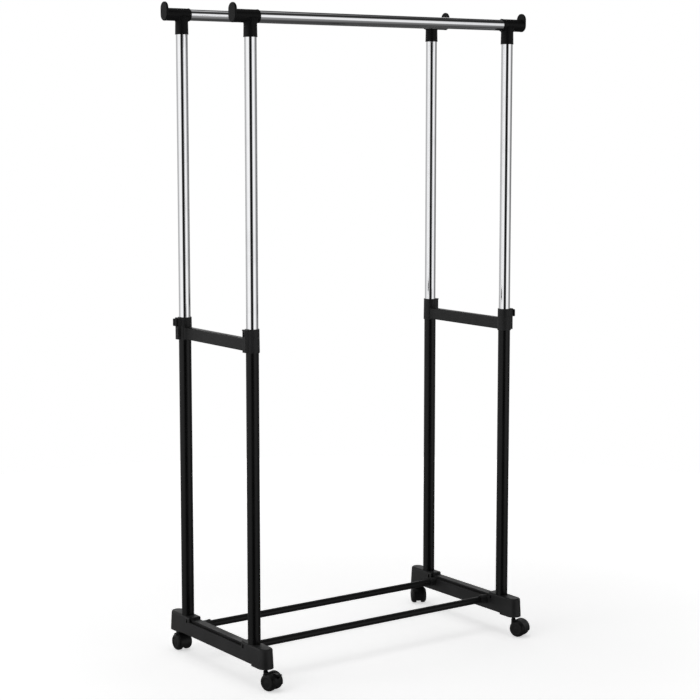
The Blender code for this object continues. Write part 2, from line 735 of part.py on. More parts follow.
def axle_profile():
    half = WHEEL_INNER_X + WHEEL_WIDTH - 0.0035 - FIT_GAP
    return [(0.0, half), (AXLE_RADIUS, half), (AXLE_RADIUS, -half), (0.0, -half)]


def brake_lever_mesh():
    """A pedal with a flat tab, its outline along the trail and up."""
    outline = [(-0.0205, 0.0386), (-0.0290, 0.0386), (-0.0405, 0.0368), (-0.0412, 0.0352),
               (-0.0330, 0.0350), (-0.0290, 0.0323), (-0.0245, 0.0298), (-0.0208, 0.0311)]
    return prism("brake_lever", outline, 2 * BRAKE_HALF_WIDTH, "X")


def brake_bore_mesh():
    bm = bmesh.new()
    add_cylinder(bm, BRAKE_PIN_RADIUS + FIT_GAP, (0, *BRAKE_PIVOT), 0.0140, "X", 12)
    bmesh.ops.translate(bm, verts=bm.verts, vec=(0, -BRAKE_PIVOT[0], -BRAKE_PIVOT[1]))
    return mesh_from(bm, "brake_bore")


def brake_pin_profile():
    half = HOOD_WEB_HALF - 0.0001
    return [(0.0, half), (BRAKE_PIN_RADIUS, half), (BRAKE_PIN_RADIUS, -half), (0.0, -half)]


def make_brake(rack, tools, swivel, corner, plastic, steel):
    lever_mesh = brake_lever_mesh()
    for vert in lever_mesh.vertices:
        vert.co -= Vector((0, *BRAKE_PIVOT))
    lever = place(rack, f"{corner}_brake_lever", lever_mesh, plastic, (0, *BRAKE_PIVOT), parent=swivel)
    combine(lever, tools, "bore", brake_bore_mesh(), "DIFFERENCE")
    pin = turned_mesh("brake_pin", brake_pin_profile(), closed=False)
    turn(place(rack, f"{corner}_brake_pin", pin, steel, (0, *BRAKE_PIVOT), (0, pi / 2, 0), swivel), 12)


def make_casters(rack, tools, plastic, tread, steel):
    web = hood_web_mesh()
    boss = hood_boss_mesh()
    fender = fender_mesh()
    plain_bores = hood_bores_mesh(with_brake=False)
    brake_bores = hood_bores_mesh(with_brake=True)
    stem = turned_mesh("caster_stem", stem_profile(), closed=False)
    socket = turned_mesh("stem_socket", socket_profile(), closed=False)
    wheel = turned_mesh("caster_wheel", wheel_profile(), closed=False)
    axle = turned_mesh("caster_axle", axle_profile(), closed=False)
    hub = (0, -CASTER_TRAIL, WHEEL_RADIUS)
    for corner, (side, depth) in CORNERS.items():
        braked = corner == "front_left"
        spot = (side * POST_X, depth * CASTER_Y, 0)
        turn(place(rack, f"{corner}_stem_socket", socket, plastic, spot), 16)
        swivel = bpy.data.objects.new(f"{corner}_swivel_axis", None)
        rack.objects.link(swivel)
        swivel.location = spot
        swivel.rotation_euler = (0, 0, radians(SWIVEL_AT_REST[corner]))
        hood = place(rack, f"{corner}_caster_hood", web, plastic, parent=swivel)
        combine(hood, tools, "boss", boss, "UNION")
        combine(hood, tools, "fender", fender, "UNION")
        combine(hood, tools, "bores", brake_bores if braked else plain_bores, "DIFFERENCE")
        turn(place(rack, f"{corner}_caster_stem", stem, steel, parent=swivel), 16)
        turn(place(rack, f"{corner}_caster_axle", axle, steel, hub, (0, pi / 2, 0), swivel), 12)
        for name, facing in (("left", -1), ("right", 1)):
            hub_face = (facing * WHEEL_INNER_X, -CASTER_TRAIL, WHEEL_RADIUS)
            turn(place(rack, f"{corner}_{name}_wheel", wheel, tread, hub_face,
                       (0, facing * pi / 2, 0), swivel), 20)
        if braked:
            make_brake(rack, tools, swivel, corner, plastic, steel)


def centre_on_footprint(rack):
    centre = bpy.data.objects.new("posts_centre", None)
    centre.location = (0, FOOTPRINT_SHIFT_Y, 0)
    for item in rack.objects:
        if item.parent is None:
            item.parent = centre
    rack.objects.link(centre)


def main():
    clear_scene()
    rack = make_collection("rolling_clothes_rack")
    tools = make_collection("cutters")
    plastic = moulded_black()
    coated = coated_black()
    chrome = bright_chrome()
    tread = wheel_black()
    steel = zinc_steel()
    make_bases(rack, tools, plastic)
    make_posts(rack, tools, coated, chrome)
    make_bushes(rack, plastic)
    make_cross_bars(rack, coated, chrome)
    make_tees(rack, tools, plastic)
    make_braces(rack, tools, plastic)
    make_locks(rack, tools, plastic, steel)
    make_casters(rack, tools, plastic, tread, steel)
    centre_on_footprint(rack)
    bpy.context.view_layer.update()


main()
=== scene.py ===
import json
from math import cos, pi, radians, sin, sqrt

import bmesh
import bpy
from bpy.props import FloatProperty, FloatVectorProperty, IntProperty, PointerProperty
from bpy.types import Operator, Panel, PropertyGroup
from mathutils import Matrix, Vector

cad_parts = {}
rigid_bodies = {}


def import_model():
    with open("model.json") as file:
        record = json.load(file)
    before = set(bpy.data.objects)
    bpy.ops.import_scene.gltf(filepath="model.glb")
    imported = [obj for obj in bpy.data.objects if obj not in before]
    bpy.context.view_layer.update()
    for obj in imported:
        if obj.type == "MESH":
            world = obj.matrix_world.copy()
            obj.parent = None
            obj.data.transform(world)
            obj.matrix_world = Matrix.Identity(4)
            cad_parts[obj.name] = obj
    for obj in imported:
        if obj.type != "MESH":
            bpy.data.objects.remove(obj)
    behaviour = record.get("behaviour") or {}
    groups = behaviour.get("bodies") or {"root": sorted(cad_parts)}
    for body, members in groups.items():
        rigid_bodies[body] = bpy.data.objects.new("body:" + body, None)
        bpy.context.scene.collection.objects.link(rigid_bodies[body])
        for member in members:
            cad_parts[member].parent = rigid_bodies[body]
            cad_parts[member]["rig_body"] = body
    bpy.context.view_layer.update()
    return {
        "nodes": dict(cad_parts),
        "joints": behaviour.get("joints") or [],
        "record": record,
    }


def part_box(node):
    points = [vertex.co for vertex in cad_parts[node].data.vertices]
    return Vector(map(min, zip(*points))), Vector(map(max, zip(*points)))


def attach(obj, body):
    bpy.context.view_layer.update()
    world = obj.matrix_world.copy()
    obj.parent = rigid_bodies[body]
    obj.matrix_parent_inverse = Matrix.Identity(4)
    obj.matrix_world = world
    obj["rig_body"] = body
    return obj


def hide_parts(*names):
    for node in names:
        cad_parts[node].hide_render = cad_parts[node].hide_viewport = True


bl_info = {
    "name": "Rolling clothes rack",
    "version": (1, 0, 0),
    "blender": (4, 5, 0),
    "location": "View3D > Sidebar > Rack",
    "description": "Models and finishes the visible pieces of a two-rail rolling clothes rack",
    "category": "Object",
}

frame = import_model()
NODE_SLOT = {part["node"]: part["material_slot"] for part in frame["record"]["subparts"]}
CORNERS = ("front_left", "front_right", "rear_left", "rear_right")
NEAR = 0.00001
MM = 0.001
OVER = 4 * MM
TURNED_ANGLE = 38.0


# ---- what a user may change -----------------------------------------------------------
def length(name, text, default):
    return FloatProperty(name=name, description=text, default=default, unit="LENGTH",
                         subtype="DISTANCE", min=0.0, precision=5)


def colour(name, text, default):
    return FloatVectorProperty(name=name, description=text, default=default, subtype="COLOR",
                               size=3, min=0.0, max=1.0)


def share(name, text, default):
    return FloatProperty(name=name, description=text, default=default, subtype="FACTOR",
                         min=0.0, max=1.0)


class RackSizes(PropertyGroup):
    """Wall thicknesses, roundings and how finely round pieces are divided."""

    sides: IntProperty(name="Sides", description="Sides of a round piece", default=72, min=24)
    lower_wall: length("Lower tube wall", "Wall of the coated tubes", 0.0007)
    upper_wall: length("Upper tube wall", "Wall of the chromed tubes", 0.0008)
    rail_wall: length("Rail wall", "Wall of the hanging rails", 0.0009)
    bar_wall: length("Bar wall", "Wall of the lower cross bars", 0.0010)
    rim_round: length("Tube rim rounding", "Rounding of the tubes' cut ends", 0.0002)
    housing_round: length("Housing edge rounding", "Rounding of the base housings' edges", 0.0006)
    gap: length("Gap", "Gap between pieces that touch or slide", 0.0003)


class RackFinish(PropertyGroup):
    """Colours and gloss of the rack's finishes."""

    plastic: colour("Moulded plastic", "Connectors, braces and bases", (0.0034, 0.0034, 0.0036))
    # The housing colour is the black plastic made about three times lighter: painted light, for the
    # base housings and side braces, which look more brightly lit than the connectors.
    housing: colour("Housing plastic", "Base housings and side braces", (0.0095, 0.0095, 0.0098))
    coat: colour("Tube coat", "Powder coat of the lower tubes", (0.0026, 0.0026, 0.0027))
    wheel: colour("Wheel", "Casters' wheels", (0.0030, 0.0030, 0.0031))
    chrome: colour("Chrome", "Upper tubes and hanging rails", (0.88, 0.885, 0.90))
    zinc: colour("Zinc", "Stems, axles and studs", (0.56, 0.56, 0.54))
    chrome_roughness: share("Chrome roughness", "Blur of the chrome's reflections", 0.06)
    coat_roughness: share("Coat roughness", "Blur of the coat's reflections", 0.27)
    plastic_roughness: share("Plastic roughness", "Blur of the plastic's reflections", 0.46)


# ---- modelling by hand ------------------------------------------------------------------
def focus(piece):
    bpy.ops.object.select_all(action="DESELECT")
    piece.select_set(True)
    bpy.context.view_layer.objects.active = piece


def settle(piece):
    """Take the object's place and size into its mesh."""
    focus(piece)
    bpy.ops.object.transform_apply(location=True, rotation=True, scale=True)
    return piece


def added(name):
    piece = bpy.context.object
    piece.name = name
    piece.data.name = name
    return settle(piece)


FACING = {"X": (0, pi / 2, 0), "Y": (-pi / 2, 0, 0), "Z": (0, 0, 0)}
ALONG = {"X": Vector((1, 0, 0)), "Y": Vector((0, 1, 0)), "Z": Vector((0, 0, 1))}


def cylinder(name, radius, centre, depth, axis="Z", sides=None, end_radius=None, ends="NGON"):
    """A cylinder or cone; end_radius is at the axis's positive end."""
    sides = sides or bpy.context.scene.rack_sizes.sides
    far = radius if end_radius is None else end_radius
    bpy.ops.object.select_all(action="DESELECT")
    bpy.ops.mesh.primitive_cone_add(vertices=sides, radius1=radius, radius2=far, depth=depth,
                                    end_fill_type=ends, location=centre, rotation=FACING[axis])
    return added(name)


def span(name, radius, start, end, axis="Z", at=(0, 0, 0), **how):
    """A cylinder from start to end along an axis through a point."""
    centre = Vector(at)
    centre -= ALONG[axis] * centre.dot(ALONG[axis])
    centre += ALONG[axis] * (start + end) / 2
    return cylinder(name, radius, centre, end - start, axis, **how)


def block(name, low, high):
    middle = (Vector(low) + Vector(high)) / 2
    size = Vector(high) - Vector(low)
    bpy.ops.object.select_all(action="DESELECT")
    bpy.ops.mesh.primitive_cube_add(size=1.0, location=middle, scale=size)
    return added(name)


def open_for_edit(piece, kind, wanted):
    """Enter edit mode with the wanted points, edges or faces selected."""
    focus(piece)
    bpy.ops.object.mode_set(mode="EDIT")
    bpy.ops.mesh.select_mode(type=kind)
    bpy.ops.mesh.select_all(action="DESELECT")
    cage = bmesh.from_edit_mesh(piece.data)
    for part in {"VERT": cage.verts, "EDGE": cage.edges, "FACE": cage.faces}[kind]:
        if wanted(part):
            part.select_set(True)
    bmesh.update_edit_mesh(piece.data)


def close_edit():
    bpy.ops.object.mode_set(mode="OBJECT")


def edge_at(axis, *places):
    """A test for edges that lie in one of the planes at those places along an axis."""
    index = "XYZ".index(axis)
    return lambda edge: any(all(abs(v.co[index] - place) < NEAR for v in edge.verts)
                            for place in places)


def round_edges(piece, wanted, width, segments=3):
    open_for_edit(piece, "EDGE", wanted)
    bpy.ops.mesh.bevel(offset=width, segments=segments, profile=0.5, affect="EDGES")
    close_edit()


def move_points(piece, wanted, by):
    open_for_edit(piece, "VERT", wanted)
    bpy.ops.transform.translate(value=by)
    close_edit()


def apply_modifier(piece, kind, **settings):
    modifier = piece.modifiers.new(kind.title(), kind)
    for name, value in settings.items():
        setattr(modifier, name, value)
    focus(piece)
    bpy.ops.object.modifier_apply(modifier=modifier.name)


def combine(piece, tool, operation):
    apply_modifier(piece, "BOOLEAN", operation=operation, object=tool, solver="EXACT")
    bpy.data.objects.remove(tool, do_unlink=True)
    return piece


def join_on(piece, *tools):
    for tool in tools:
        combine(piece, tool, "UNION")
    return piece


def cut_out(piece, *tools):
    for tool in tools:
        combine(piece, tool, "DIFFERENCE")
    return piece


def clean(piece):
    focus(piece)
    bpy.ops.object.mode_set(mode="EDIT")
    bpy.ops.mesh.select_all(action="SELECT")
    bpy.ops.mesh.remove_doubles(threshold=NEAR)
    bpy.ops.mesh.normals_make_consistent(inside=False)
    close_edit()
    return piece


def smooth(piece, angle=30.0):
    focus(piece)
    bpy.ops.object.shade_smooth_by_angle(angle=radians(angle))
    apply_modifier(piece, "WEIGHTED_NORMAL", keep_sharp=True, weight=50)
    return piece


def soften(piece, width, angle):
    """Round every edge that is sharper than the angle, and shade the rest smooth."""
    apply_modifier(piece, "BEVEL", width=width, segments=2, limit_method="ANGLE",
                   angle_limit=radians(angle), use_clamp_overlap=True, harden_normals=False)
    return smooth(clean(piece))


def lathe(name, rings, sides):
    """A turned piece on Z: a disc, extruded and resized from ring to ring (radius, height)."""
    radius, height = rings[0]
    bpy.ops.object.select_all(action="DESELECT")
    bpy.ops.mesh.primitive_circle_add(vertices=sides, radius=radius, fill_type="NGON",
                                      location=(0, 0, height))
    piece = added(name)
    open_for_edit(piece, "FACE", lambda face: True)
    for next_radius, next_height in rings[1:]:
        bpy.ops.mesh.extrude_region_move(
            TRANSFORM_OT_translate={"value": (0, 0, next_height - height)})
        scale = next_radius / radius
        if abs(scale - 1.0) > 1e-9:
            bpy.ops.transform.resize(value=(scale, scale, 1), center_override=(0, 0, next_height))
        radius, height = next_radius, next_height
    close_edit()
    return clean(piece)


def bend(centre_radius, centre_height, radius, start, end, steps=4):
    """Rings of a rounded corner, from one angle to another, in degrees from outwards to up."""
    turns = [radians(start + (end - start) * step / steps) for step in range(steps + 1)]
    return [(centre_radius + radius * cos(turn), centre_height + radius * sin(turn))
            for turn in turns]


def copied(master, name, matrix):
    piece = master.copy()
    piece.data = master.data.copy()
    piece.name = name
    piece.data.name = name
    bpy.context.scene.collection.objects.link(piece)
    piece.data.transform(matrix)
    return piece


def discard(*pieces):
    for piece in pieces:
        bpy.data.objects.remove(piece, do_unlink=True)


def middle_of(node):
    low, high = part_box(node)
    return (low + high) / 2


def hand_over(piece, node):
    """The piece stands for the node: it moves with its body and takes its finish."""
    slot = NODE_SLOT[node]
    piece.data.materials.clear()
    piece.data.materials.append(finish_of(FINISH_OF_NODE.get(node, slot)))
    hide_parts(node)
    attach(piece, frame["nodes"][node]["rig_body"])
    return piece


def side_turn(corner_x):
    """Pieces are modelled for the right-hand side, and turned half round for the left."""
    return Matrix.Rotation(0.0 if corner_x > 0 else pi, 4, "Z")


# ---- shader graphs ------------------------------------------------------------------------
class Socket:
    """A shader output that takes part in sums."""

    def __init__(self, graph, output):
        self.graph = graph
        self.output = output

    def math(self, operation, other):
        return self.graph.add("ShaderNodeMath", {"operation": operation}, {0: self, 1: other})

    def __add__(self, other):
        return self.math("ADD", other)

    def __mul__(self, other):
        return self.math("MULTIPLY", other)

    def __sub__(self, other):
        return self.math("SUBTRACT", other)

    __radd__ = __add__


class Graph:
    """A node tree that is built by naming nodes, their settings and their sockets."""

    def __init__(self, tree):
        self.tree = tree
        tree.nodes.clear()

    def add(self, kind, settings=None, sockets=None, out=0):
        node = self.tree.nodes.new(kind)
        for name, value in (settings or {}).items():
            setattr(node, name, value)
        for key, value in (sockets or {}).items():
            if isinstance(value, Socket):
                self.tree.links.new(value.output, node.inputs[key])
            else:
                node.inputs[key].default_value = value
        return Socket(self, node.outputs[out]) if len(node.outputs) else node

    def place(self):
        return self.add("ShaderNodeTexCoord", out=3)

    def stretched(self, scale):
        return self.add("ShaderNodeMapping", {}, {"Vector": self.place(), "Scale": scale})

    def noise(self, scale, detail=2.0, roughness=0.5, vector=None):
        return self.add("ShaderNodeTexNoise", {}, {"Vector": vector or self.place(),
                        "Scale": scale, "Detail": detail, "Roughness": roughness})

    def remap(self, value, low, high, to_low=0.0, to_high=1.0):
        return self.add("ShaderNodeMapRange", {"clamp": True, "interpolation_type": "SMOOTHSTEP"},
                        {0: value, 1: low, 2: high, 3: to_low, 4: to_high})

    def mix(self, factor, first, second):
        return self.add("ShaderNodeMix", {"data_type": "RGBA"},
                        {"Factor": factor, 6: first, 7: second}, out=2)

    def bump(self, height, distance, strength):
        return self.add("ShaderNodeBump", {}, {"Height": height, "Distance": distance,
                        "Strength": strength})

    def principled(self, sockets):
        shader = self.add("ShaderNodeBsdfPrincipled", {}, sockets)
        self.add("ShaderNodeOutputMaterial", {}, {"Surface": shader})


def rgba(value, scale=1.0):
    return (*[min(1.0, channel * scale) for channel in value], 1.0)


def finish_of(name):
    return bpy.data.materials[f"{name}_finish"]


def new_finish(name):
    material = bpy.data.materials.new(f"{name}_finish")
    material.use_nodes = True
    return Graph(material.node_tree)


def scuffs(graph, stretch, amount):
    """Sparse fine scratches: thin bright lines of a stretched noise, broken up by a coarse one."""
    fine = graph.noise(1.0, 3.0, 0.6, graph.stretched(stretch))
    lines = graph.remap(fine, 0.68, 0.76)
    patches = graph.remap(graph.noise(22.0, 2.0), 0.52, 0.68)
    return lines * patches * amount


def moulded_plastic(name, tint, roughness, grain=1800.0, gloss=0.15):
    """Black moulding: fine spark-eroded grain, cloudy gloss, light handling scuffs."""
    graph = new_finish(name)
    cloud = graph.noise(16.0, 3.0, 0.55)
    speckle = graph.noise(grain, 2.0, 0.6)
    marks = scuffs(graph, (60.0, 700.0, 140.0), 0.5)
    shade = graph.remap(cloud, 0.3, 0.7, 0.0, 0.6) + marks * 0.7
    surface = graph.remap(cloud, 0.25, 0.75, roughness - 0.05, roughness + 0.07) - marks * 0.10
    lumps = graph.noise(grain * 0.32, 2.0, 0.5)
    normal = graph.bump(speckle + lumps * 0.8, 0.00007, 0.75)
    graph.principled({
        "Base Color": graph.mix(shade, rgba(tint), rgba(tint, 2.4)),
        "Roughness": surface + speckle * 0.04,
        "Normal": normal,
        "IOR": 1.50,
        "Specular IOR Level": gloss,
    })


def coated_steel(name, tint, roughness):
    """Satin powder coat: slight orange peel, cloudy sheen, a few rub marks along the tube."""
    graph = new_finish(name)
    cloud = graph.noise(11.0, 3.0, 0.5)
    peel = graph.noise(520.0, 1.5, 0.45)
    fleck = graph.noise(2600.0, 1.0, 0.5)
    marks = scuffs(graph, (420.0, 420.0, 14.0), 0.6)
    shade = graph.remap(cloud, 0.3, 0.7, 0.0, 0.5) + marks * 0.6
    graph.principled({
        "Base Color": graph.mix(shade, rgba(tint), rgba(tint, 1.8)),
        "Roughness": graph.remap(cloud, 0.25, 0.75, roughness - 0.04, roughness + 0.05) + marks * 0.1,
        "Normal": graph.bump(peel + fleck * 0.25, 0.00003, 0.35),
        "IOR": 1.50,
        "Specular IOR Level": 0.25,
    })


def chrome_plate(name, tint, roughness, stretch):
    """Chrome over drawn tube: faint draw lines along it, thin smudges, a slightly wavy surface."""
    graph = new_finish(name)
    lines = graph.noise(1.0, 3.0, 0.55, graph.stretched(stretch))
    smudge = graph.remap(graph.noise(26.0, 4.0, 0.6), 0.50, 0.74)
    wave = graph.noise(34.0, 1.0, 0.4)
    pits = graph.remap(graph.noise(900.0, 1.0, 0.5), 0.76, 0.82)
    graph.principled({
        "Base Color": graph.mix(smudge * 0.35 + pits * 0.4, rgba(tint), rgba(tint, 0.86)),
        "Metallic": 1.0,
        "Roughness": roughness + smudge * 0.06 + lines * 0.03,
        "Normal": graph.bump(lines * 0.3 + wave, 0.000006, 0.25),
    })


def wheel_nylon(name, tint):
    """Wheels: smooth nylon with dust rubbed into the tread and fine turning marks."""
    graph = new_finish(name)
    dust = graph.remap(graph.noise(90.0, 4.0, 0.62), 0.46, 0.72)
    grain = graph.noise(1500.0, 2.0, 0.5)
    marks = scuffs(graph, (300.0, 300.0, 300.0), 0.8)
    graph.principled({
        "Base Color": graph.mix(dust * 0.5 + marks * 0.4, rgba(tint), rgba((0.012, 0.0115, 0.0105))),
        "Roughness": 0.36 + dust * 0.16,
        "Normal": graph.bump(grain, 0.00003, 0.4),
        "Specular IOR Level": 0.24,
    })


def zinc_plate(name, tint):
    """Zinc-plated steel: cloudy passivation and fine turned lines."""
    graph = new_finish(name)
    cloud = graph.noise(140.0, 3.0, 0.6)
    lines = graph.noise(1.0, 2.0, 0.5, graph.stretched((150.0, 150.0, 4200.0)))
    graph.principled({
        "Base Color": graph.mix(graph.remap(cloud, 0.3, 0.7), rgba(tint), rgba(tint, 0.72)),
        "Metallic": 1.0,
        "Roughness": 0.28 + cloud * 0.16,
        "Normal": graph.bump(lines, 0.00002, 0.4),
    })


# The lighter copy of the black plastic on the base housings and side braces is painted light.
FINISH_OF_NODE = {
    "front_top_rail": "chrome_rail",
    "rear_top_rail": "chrome_rail",
    "front_bottom_bar": "coated_bar",
    "rear_bottom_bar": "coated_bar",
    "left_base_housing": "lit_housing_plastic",
    "right_base_housing": "lit_housing_plastic",
    "left_side_brace": "lit_housing_plastic",
    "right_side_brace": "lit_housing_plastic",
}


class RACK_OT_finishes(Operator):
    """Make the rack's materials and give them to the hidden pieces of the frame"""

    bl_idname = "rack.finishes"
    bl_label = "Make finishes"

    def execute(self, context):
        finish = context.scene.rack_finish
        moulded_plastic("moulded_plastic", finish.plastic, finish.plastic_roughness)
        # Same black plastic with a lighter tint: painted light on the base housings and side braces.
        moulded_plastic("lit_housing_plastic", finish.housing, finish.plastic_roughness, gloss=0.28)
        moulded_plastic("caster_plastic", finish.plastic, 0.40, 2200.0, 0.22)
        moulded_plastic("knob_plastic", finish.plastic, 0.44, 1500.0)
        moulded_plastic("liner_plastic", finish.plastic, 0.55, 1200.0)
        coated_steel("coated_tube", finish.coat, finish.coat_roughness)
        coated_steel("coated_bar", finish.coat, finish.coat_roughness + 0.13)
        chrome_plate("chrome_tube", finish.chrome, finish.chrome_roughness, (900.0, 900.0, 5.0))
        chrome_plate("chrome_rail", finish.chrome, finish.chrome_roughness, (5.0, 900.0, 900.0))
        wheel_nylon("caster_wheel", finish.wheel)
        # Black coat on the caster stems: painted shade and painted reflection, standing in for steel
        # stems that look dark in shadow.
        coated_steel("blackened_steel", finish.coat, 0.34)
        zinc_plate("plated_steel", finish.zinc)
        for name, node in frame["nodes"].items():
            node.data.materials.clear()
            node.data.materials.append(finish_of(NODE_SLOT[name]))
        return {"FINISHED"}


# ---- tubes ----------------------------------------------------------------------------------
def tube(node, axis, wall):
    """A cut length of tube in the node's place, its rims slightly rounded."""
    low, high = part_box(node)
    index = "XYZ".index(axis)
    across = [high[i] - low[i] for i in range(3) if i != index]
    radius = max(across) / 2
    piece = span(f"{node}_finished", radius, low[index], high[index], axis, (low + high) / 2,
                 ends="NOTHING")
    apply_modifier(piece, "SOLIDIFY", thickness=wall, offset=-1.0, use_rim=True)
    return soften(piece, bpy.context.scene.rack_sizes.rim_round, 60.0)


class RACK_OT_posts(Operator):
    """Model the four telescoping posts"""

    bl_idname = "rack.posts"
    bl_label = "Model posts"

    def execute(self, context):
        sizes = context.scene.rack_sizes
        for corner in CORNERS:
            lower = tube(f"{corner}_lower_post", "Z", sizes.lower_wall)
            stud = f"{corner}_lock_stud"
            if stud in frame["nodes"]:
                low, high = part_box(stud)
                hole = (high.z - low.z) / 2 + 2 * sizes.gap
                cut_out(lower, span("hole", hole, low.x - MM, high.x + MM, "X", middle_of(stud),
                                    sides=32))
                smooth(clean(lower))
            hand_over(lower, f"{corner}_lower_post")
            hand_over(tube(f"{corner}_upper_post", "Z", sizes.upper_wall), f"{corner}_upper_post")
        return {"FINISHED"}


class RACK_OT_bars(Operator):
    """Model the two hanging rails and the two lower cross bars"""

    bl_idname = "rack.bars"
    bl_label = "Model rails and bars"

    def execute(self, context):
        sizes = context.scene.rack_sizes
        for row in ("front", "rear"):
            hand_over(tube(f"{row}_top_rail", "X", sizes.rail_wall), f"{row}_top_rail")
            hand_over(tube(f"{row}_bottom_bar", "X", sizes.bar_wall), f"{row}_bottom_bar")
        return {"FINISHED"}


# ---- rail connectors --------------------------------------------------------------------------
class RACK_OT_connectors(Operator):
    """Model the four rail connectors with their upturned end plates"""

    bl_idname = "rack.connectors"
    bl_label = "Model rail connectors"

    def execute(self, context):
        gap = context.scene.rack_sizes.gap
        post = middle_of("front_right_upper_post")
        rail_low, rail_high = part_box("front_top_rail")
        tee_low, tee_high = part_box("front_right_rail_connector")
        rail_z = (rail_low.z + rail_high.z) / 2
        rail_radius = (rail_high.z - rail_low.z) / 2
        post_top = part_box("front_right_upper_post")[1]
        post_radius = post_top.x - post.x
        inner = tee_low.x - post.x
        outer = tee_high.x - post.x
        sleeve_wall, end_wall, small_round = 0.0014, 0.0012, 0.0005
        sleeve_radius = rail_radius + sleeve_wall
        collar_radius = (tee_high.y - tee_low.y) / 2
        plate_radius = sleeve_radius + 0.0003
        plate_thickness, plate_face_round, plate_back_round = 0.0050, 0.0019, 0.0010
        plate_rise = tee_high.z - rail_z - plate_radius
        rail_end = rail_high.x - post.x

        tee = span("connector", sleeve_radius, inner, outer - plate_thickness / 2, "X",
                   (0, 0, rail_z))
        round_edges(tee, edge_at("X", inner), 0.0004, 2)
        lip_start, lip_end, rim_height = inner + 0.0003, inner + 0.0024, 0.0026
        lip = span("lip", sleeve_radius + small_round, lip_start, lip_end, "X", (0, 0, rail_z))
        round_edges(lip, edge_at("X", lip_start, lip_end), small_round, 2)
        collar = span("collar", collar_radius - 0.0002, tee_low.z + 0.001, rail_z - 0.003, "Z",
                      end_radius=collar_radius - 0.0009)
        neck_top, neck_height = rail_z - 0.0045, 0.0120
        neck = span("neck", collar_radius - 0.0008, neck_top - neck_height, neck_top, "Z",
                    end_radius=collar_radius + 0.0026)
        rim = span("rim", collar_radius, tee_low.z, tee_low.z + rim_height, "Z")
        round_edges(rim, edge_at("Z", tee_low.z, tee_low.z + rim_height), small_round, 2)
        plate = span("plate", plate_radius, outer - plate_thickness, outer, "X", (0, 0, rail_z))
        move_points(plate, lambda point: point.co.z > rail_z + NEAR, (0, 0, plate_rise))
        round_edges(plate, edge_at("X", outer), plate_face_round, 4)
        round_edges(plate, edge_at("X", outer - plate_thickness), plate_back_round, 3)
        trim = block("trim", (-40 * MM, -40 * MM, neck_top - 20 * MM),
                     (40 * MM, 40 * MM, neck_top + 20 * MM))
        apply_modifier(neck, "BOOLEAN", operation="INTERSECT", object=trim, solver="EXACT")
        discard(trim)
        join_on(tee, collar, neck, rim, lip, plate)
        cut_out(tee,
                span("bore", rail_radius + gap, inner - OVER, rail_end + end_wall, "X",
                     (0, 0, rail_z)),
                span("socket", post_radius + gap, tee_low.z - OVER, post_top.z + gap, "Z"))
        smooth(clean(tee))
        for corner in CORNERS:
            node = f"{corner}_rail_connector"
            spot = middle_of(f"{corner}_upper_post")
            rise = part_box(node)[0].z - tee_low.z
            shift = Matrix.Translation((spot.x, spot.y, rise))
            hand_over(copied(tee, f"{node}_finished", shift @ side_turn(spot.x)), node)
        discard(tee)
        return {"FINISHED"}


# ---- side braces ------------------------------------------------------------------------------
BOSS_LIP = 0.0008


def brace_boss(centre_y, reach, half_width, low_z, high_z):
    """A flat boss on the sleeve's outer side, with a small lip along its top."""
    top_z, lip_z = high_z - 0.0004, high_z - 0.0032
    boss = block("boss", (0, centre_y - half_width, low_z + 0.0012),
                 (reach, centre_y + half_width, top_z))
    round_edges(boss, lambda edge: all(v.co.x > reach - NEAR for v in edge.verts)
                and abs(edge.verts[0].co.z - edge.verts[1].co.z) > 10 * MM, 0.0012, 3)
    lip = block("lip", (0, centre_y - half_width, lip_z),
                (reach + BOSS_LIP, centre_y + half_width, top_z))
    round_edges(lip, lambda edge: all(v.co.x > reach for v in edge.verts), 0.0006, 2)
    return join_on(boss, lip)


def brace_web(facing, post_y, sleeve_radius, bar_half, low_z, high_z):
    """The web where the flat bar swells into the sleeve, hollow and tangent on both sides."""
    hollow, sunk = 0.0100, 0.003
    aside = bar_half + hollow
    along = sqrt((sleeve_radius + hollow) ** 2 - aside ** 2)
    touch = sleeve_radius / (sleeve_radius + hollow)
    root = post_y - facing * (along * touch - sunk)
    end = post_y - facing * along
    web = block("web", (-aside * touch, min(root, end), low_z),
                (aside * touch, max(root, end), high_z))
    for side in (-1, 1):
        cut_out(web, span("hollow", hollow, low_z - 2 * MM, high_z + 2 * MM, "Z",
                          (side * aside, end, 0), sides=96))
    return web


